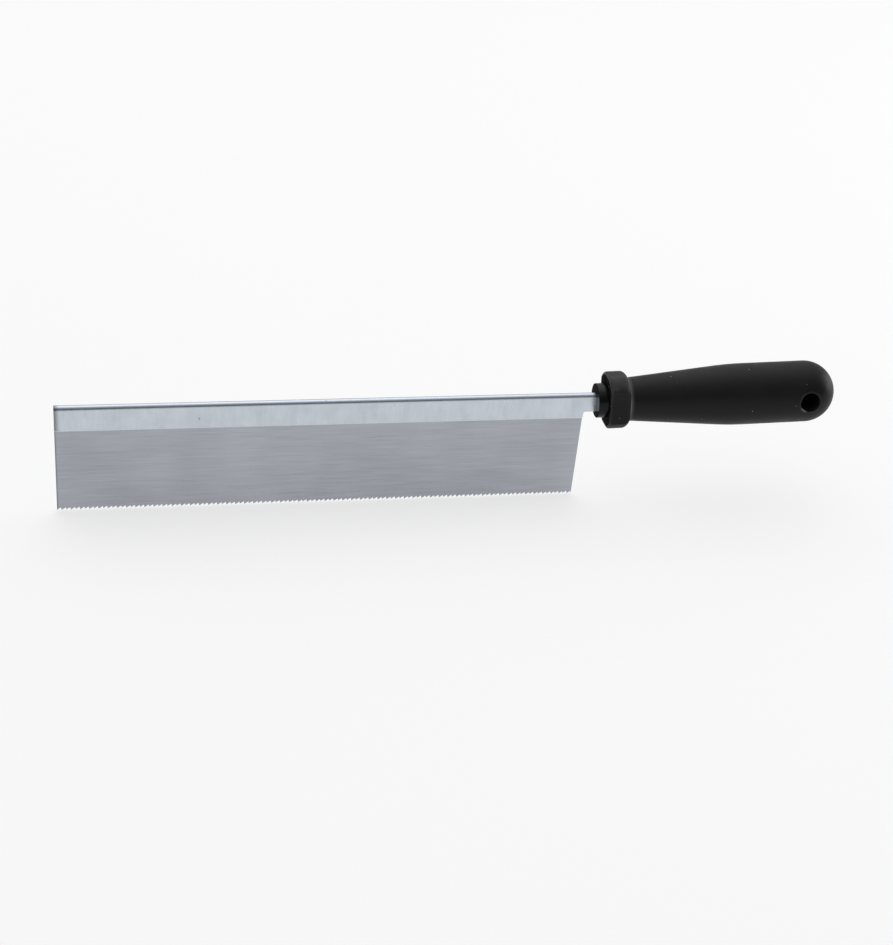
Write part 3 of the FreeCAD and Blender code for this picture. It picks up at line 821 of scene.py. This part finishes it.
def makeHandle(material):
    # One closed skin of rows about the axis: the socket's inner end, its walls, the nose, the ferrule's seat,
    # the bolster's face and flats, the throat, the grip and the dome. Two windows in it are joined by the
    # hanging hole.
    facts = handleFacts
    angles = handleColumns(facts)
    count = len(angles)
    room = facts["fitRoom"]
    front = ferruleFacts["reach"]
    nose = ferruleFacts["wall"] + room
    noseRadius = ferruleFacts["radius"] - ferruleFacts["wall"] - room
    seatRadius = ferruleFacts["radius"] + room
    seatEnd = front + ferruleFacts["seat"] + room
    soft = facts["frontRound"]
    rearStart = front + facts["bolsterLength"]
    throat = rearStart + facts["rearRound"]
    domeCentre = throat + facts["gripLength"]
    grip = facts["gripRadius"]
    taper = math.radians(facts["gripTaper"])
    taperEnd = throat + (grip - facts["throatRadius"]) / math.tan(taper)
    holeAlong = domeCentre + grip - facts["holeSetback"]
    window = facts["holeWindow"]
    windowStart = holeAlong - window
    socketEnd = tangEndX + axisFacts["tangRoom"] - axisStart[0]

    # inside: socket, nose and seat, which the ferrule and the tang hide
    sunk = [slotRow(along, 0, angles, clock) for along in np.linspace(socketEnd, nose, 8)]
    pole = np.tile(sunk[0].mean(axis=0), (count, 1))
    rows = [pole] + sunk
    rows += between(rows[-1], ringRow(nose, noseRadius, angles), (0.5, 1.0))
    rows += [ringRow(seatEnd, noseRadius, angles), ringRow(seatEnd, seatRadius, angles)]
    rows += [ringRow(front + 0.25, seatRadius, angles), ringRow(front + 0.07, seatRadius + 0.07, angles)]
    rows += [ringRow(front, seatRadius + 0.25, angles)]
    edges = [0 * angles for row in rows]
    hidden = len(rows) - 1

    # bolster: its face, the front rounding, the side and the rear rounding, which starts all round at once
    outline, edge = bolsterRow(front, soft, 0, angles, facts)
    rows += between(rows[-1], outline, (0.25, 0.5, 0.75, 0.93))
    edges += [edge * share for share in (0, 0, 0.1, 0.3)]
    rounding = [
        (front + soft * fall, soft * (1 - sine), 0, 2 * sine * (1 - fall)) for sine, fall in quarter(9)
    ]
    side = [(along, 0, 0, 0) for along in np.linspace(front + soft, rearStart, 8)[1:-1]]
    turn = facts["rearRound"]
    rear = [(rearStart + turn * sine, 0, 0.8 * fall + 0.2 * sine, 0) for sine, fall in quarter(16)[:-1]]
    faceRows = hidden + 5
    # edges and front rounding worn paler; painted highlights on the top and the rear rounding; the
    # shoulder, worn by the hand, most of all in front, worn paler and a painted highlight too
    fromTop = np.minimum(angles, 2 * math.pi - angles)
    # painted highlight: the bolster's top paler, as if lit from above
    toplight = 0.5 * np.clip(np.cos(angles), 0, 1) ** 2
    shoulder = np.exp(-((fromTop - facts["shoulderAngle"]) / facts["shoulderWidth"]) ** 4)
    for along, inset, share, rubAndSheen in rounding + side + rear:
        row, edge = bolsterRow(along, inset, share, angles, facts)
        rows.append(row)
        frontal = 1 / (1 + math.exp((along - front - 3.6) / 0.35))
        rubbedAndLit = shoulder * (0.35 + 0.75 * frontal) + 0.3 * share
        edges.append(np.clip(0.55 * edge + (0.4 + 1.4 * toplight) * rubAndSheen + toplight + rubbedAndLit, 0, 1))

    # throat, taper and the straight part of the grip
    corners = (
        (throat, facts["throatRadius"], 0),
        (taperEnd, grip, facts["taperBlend"]),
        (windowStart, grip, 0),
    )
    rows += [ringRow(along, reach, angles) for along, reach in roundedLine(corners, 1.6)]
    firstWindow = len(rows) - 1
    for along in np.linspace(windowStart, domeCentre, 15)[1:]:
        rows.append(ringRow(along, grip, angles))
    windowLift = math.asin((holeAlong + window - domeCentre) / grip)
    for lift in np.linspace(0, windowLift, 15)[1:]:
        rows.append(ringRow(domeCentre + grip * math.sin(lift), grip * math.cos(lift), angles))
    lastWindow = len(rows) - 1
    for lift in np.linspace(windowLift, math.pi / 2, 34)[1:-1]:
        rows.append(ringRow(domeCentre + grip * math.sin(lift), grip * math.cos(lift), angles))
    rows.append(ringRow(domeCentre + grip, 0, angles))
    edges += [0 * angles] * (len(rows) - len(edges))

    grid = np.stack(rows)
    wear_and_sheen = np.stack(edges)
    # painted shade on the bolster's front face, which is also made dull
    face = np.zeros_like(wear_and_sheen)
    face[hidden:faceRows] = 1
    # painted highlight: a pale line round the throat
    dust_and_highlight = np.exp(-((grid[:, :, 0] - throat + 0.25) / facts["throatHighlightWidth"]) ** 2)
    dust_and_highlight = dust_and_highlight * (0.45 + 0.3 * np.cos(fromTop - 0.8))
    index = np.arange(grid.shape[0] * count).reshape(-1, count)
    index[0] = index[0, 0]
    index[-1] = index[-1, 0]

    # windows on the near and the far side
    top = int(np.argmin(np.abs(angles - math.acos(window / grip))))
    bottom = count // 2 - top
    closed = np.concatenate([index, index[:, :1]], axis=1)
    skin = np.ones((len(rows) - 1, count), bool)
    skin[firstWindow:lastWindow, top:bottom] = False
    skin[firstWindow:lastWindow, count - bottom:count - top] = False
    cells = gridFaces(closed)[skin.ravel()]
    down = np.arange(bottom, top, -1)
    across = np.arange(lastWindow, firstWindow, -1)
    rimRows = np.concatenate([0 * down + lastWindow, across, 0 * down + firstWindow, across[::-1]])
    rimRows[-len(across):] -= 1
    rimColumns = np.concatenate([down, 0 * across + top, down[::-1] - 1, 0 * across + bottom])
    rimColumns[len(down) + len(across):][:len(down)] = np.arange(top, bottom)
    nearRim = index[rimRows, rimColumns]
    farRim = index[rimRows, (count - rimColumns) % count]

    # the hole: from the near window to its mouth, round the mouth, through the wall, and the same beyond
    start = grid[rimRows, rimColumns]
    direction = np.arctan2(start[:, 2], start[:, 0] - holeAlong)
    mouth = facts["holeRound"]

    def skinDepth(along, height):
        # half the width of the grip at a place on it
        bulge = np.maximum(along - domeCentre, 0)
        return np.sqrt(grip ** 2 - bulge ** 2 - height ** 2)

    def ringAt(reach, depth):
        # a circle about the hole's axis, sunk below the skin
        along = holeAlong + reach * np.cos(direction)
        height = reach * np.sin(direction)
        return np.stack([along, -(skinDepth(along, height) - depth), height], axis=1)

    patch = []
    rubbed_and_sheen = []
    edgeReach = facts["holeRadius"] + mouth
    rimAlong = holeAlong + edgeReach * np.cos(direction)
    rimHeight = edgeReach * np.sin(direction)
    for share in np.linspace(0, 1, 9)[1:-1]:
        along = start[:, 0] + (rimAlong - start[:, 0]) * share
        height = start[:, 2] + (rimHeight - start[:, 2]) * share
        patch.append(np.stack([along, -skinDepth(along, height), height], axis=1))
        rubbed_and_sheen.append(0.0)
    for sine, fall in quarter(8):
        patch.append(ringAt(facts["holeRadius"] + mouth * (1 - sine), mouth * fall))
        rubbed_and_sheen.append(0.8 * math.exp(-(sine / 0.25) ** 2))
    half = np.stack(patch)
    inner = half[-1]
    through = [inner * np.array([1, share, 1]) for share in (0.6, 0.2, -0.2, -0.6)]
    tube = np.concatenate([half, np.stack(through), half[::-1] * np.array([1, -1, 1])])
    tubeWearAndSheen = np.concatenate([rubbed_and_sheen, [0] * len(through), rubbed_and_sheen[::-1]])[:, None] * np.ones(len(direction))
    # painted highlight: a pale crescent on the lower part of the hole's near mouth
    crescent = np.exp(-((np.abs(direction) - facts["glintAngle"]) / facts["glintWidth"]) ** 4)
    crescent = crescent * (direction < 0)
    rimGlint = np.zeros_like(tubeWearAndSheen)
    rimGlint[len(half) - 6:len(half) - 1] = crescent
    # painted shade inside the hole, which is also made dull
    tubeFace = np.zeros_like(tubeWearAndSheen)
    tubeFace[len(half):-len(half)] = 1
    tubeIndex = index.size + np.arange(tube.shape[0] * tube.shape[1]).reshape(tube.shape[:2])
    tubeIndex = np.concatenate([nearRim[None], tubeIndex, farRim[None]])
    points = np.concatenate([grid.reshape(-1, 3), tube.reshape(-1, 3)])
    marks = {
        "wear_and_sheen": np.concatenate([wear_and_sheen.ravel(), tubeWearAndSheen.ravel()]),
        "face": np.concatenate([face.ravel(), tubeFace.ravel()]),
        "dust_and_highlight": np.concatenate([dust_and_highlight.ravel(), rimGlint.ravel()]),
    }

    # leave out the grid's points that nothing uses: inside the windows and the doubles at the poles
    cells = np.concatenate([cells, gridFaces(tubeIndex, wrapColumns=True)])
    used, renumbered = np.unique(cells, return_inverse=True)
    cells = renumbered.reshape(cells.shape)
    placed = alongAxis(points[used], handleTurn)
    marks = {key: values[used] for key, values in marks.items()}
    return meshPiece("handle_moulding", placed, [cells], material, 50, marks=marks)


place(makeBlade(groundSpringSteel()), "blade")
place(makeBack(brightZincPlate()), "back")
place(makeFerrule(glossBlackLacquer()), "ferrule")
place(makeHandle(mouldedBlackPlastic()), "handle")


stageFacts = {
    "floorSize": 9.0,         # metres
    "floorDrop": 0.4,         # millimetres under the tooth points, so that they don't lie in it
    "floorColour": "919190",
    "floorGlow": 0.70,
    "softboxes": {            # place and width in metres, power
        "softbox_above": ((0.0, 0.62, 1.25), 1.3, 3.8),
        "softbox_right": ((1.15, 0.28, 0.17), 0.55, 4.0),
        "softbox_front": ((0.4, -2.4, 0.2), 1.0, 2.0),
    },
    "skyAxis": (0.0, 0.5, 0.866),    # towards the brightest part of the studio, behind and above
    "skyStops": ((0.0, 0.20), (0.3, 0.32), (0.5, 0.56), (0.62, 0.75), (0.87, 1.02), (1.0, 1.12)),
}


def makeStage():
    # a pale square table of matt acrylic, lit a little from beneath
    facts = stageFacts
    half = facts["floorSize"] / 2
    z = (toothLineZ - facts["floorDrop"]) * mm
    mesh = bpy.data.meshes.new("floor")
    corners = [(-half, -half, z), (half, -half, z), (half, half, z), (-half, half, z)]
    mesh.from_pydata(corners, [], [(0, 1, 2, 3)])
    floor = bpy.data.objects.new("floor", mesh)
    scene.collection.objects.link(floor)
    material, tree, output = newMaterial("acrylic_table_matt")
    here = addNode(tree, "TexCoord").outputs["Object"]
    cloud = addNode(tree, "TexNoise", {"Vector": here, "Scale": 1.5, "Detail": 2.0})
    rough = addNode(tree, "MapRange", {"Value": cloud.outputs["Fac"], "To Min": 0.75, "To Max": 0.9})
    table = addNode(
        tree,
        "BsdfPrincipled",
        {
            "Base Color": linearColour(facts["floorColour"]),
            "Roughness": rough.outputs["Result"],
            "Specular IOR Level": 0.1,
            "Emission Color": (1.0, 1.0, 1.0, 1.0),
            "Emission Strength": facts["floorGlow"],
        },
    )
    tree.links.new(table.outputs["BSDF"], output.inputs["Surface"])
    mesh.materials.append(material)


def makeLight():
    # A large softbox overhead and a little behind, a small one low on the right and a weak one in front. The
    # studio's own light fades with the cosine of the angle to its brightest part.
    facts = stageFacts
    for name, (spot, width, power) in facts["softboxes"].items():
        lamp = bpy.data.lights.new(name, "AREA")
        lamp.shape = "SQUARE"
        lamp.size = width
        lamp.energy = power
        box = bpy.data.objects.new(name, lamp)
        scene.collection.objects.link(box)
        box.location = spot
        box.rotation_euler = Vector(spot).to_track_quat("Z", "Y").to_euler()

    world = bpy.data.worlds.new("studio")
    scene.world = world
    world.use_nodes = True
    tree = world.node_tree
    tree.nodes.clear()
    here = addNode(tree, "TexCoord").outputs["Generated"]
    lean = addNode(tree, "VectorMath", {0: here, 1: facts["skyAxis"]}, operation="DOT_PRODUCT")
    sky = addNode(tree, "ValToRGB", {"Fac": lean.outputs["Value"]})
    ramp = sky.color_ramp
    while len(ramp.elements) < len(facts["skyStops"]):
        ramp.elements.new(0.5)
    for element, (position, level) in zip(ramp.elements, facts["skyStops"]):
        element.position = position
        element.color = (level, level, level * 1.02, 1.0)
    light = addNode(tree, "Background", {"Color": sky.outputs["Color"], "Strength": 1.0})
    output = addNode(tree, "OutputWorld")
    tree.links.new(light.outputs["Background"], output.inputs["Surface"])


cameraFacts = {
    "azimuth": -12.13,     # degrees, 0 looks along +Y
    "elevation": 32.45,
    "roll": 4.80,
    "distance": 987.1,
    "target": (-1.565, 0.0, 13.96),
    "lens": 77.54,
    "sensorWidth": 36.0,
    "clip": (0.05, 50.0),  # metres
}


def makeCamera():
    # the camera stands at its distance from the target, swung round by azimuth and elevation, then rolled
    facts = cameraFacts
    azimuth = math.radians(facts["azimuth"])
    elevation = math.radians(facts["elevation"])
    back = Vector(
        (
            math.sin(azimuth) * math.cos(elevation),
            -math.cos(azimuth) * math.cos(elevation),
            math.sin(elevation),
        )
    )
    lens = bpy.data.cameras.new("camera")
    lens.lens = facts["lens"]
    lens.sensor_width = facts["sensorWidth"]
    lens.clip_start, lens.clip_end = facts["clip"]
    camera = bpy.data.objects.new("camera", lens)
    scene.collection.objects.link(camera)
    level = back.to_track_quat("Z", "Y")
    rolled = Matrix.Rotation(math.radians(facts["roll"]), 3, "Z").to_quaternion()
    camera.rotation_mode = "QUATERNION"
    camera.rotation_quaternion = level @ rolled
    camera.location = (Vector(facts["target"]) + back * facts["distance"]) * mm
    scene.camera = camera


makeStage()
makeLight()
makeCamera()
scene.view_settings.view_transform = "Standard"
scene.view_settings.gamma = 0.85   # deepens the blacks a little
print("stage, light and camera made")
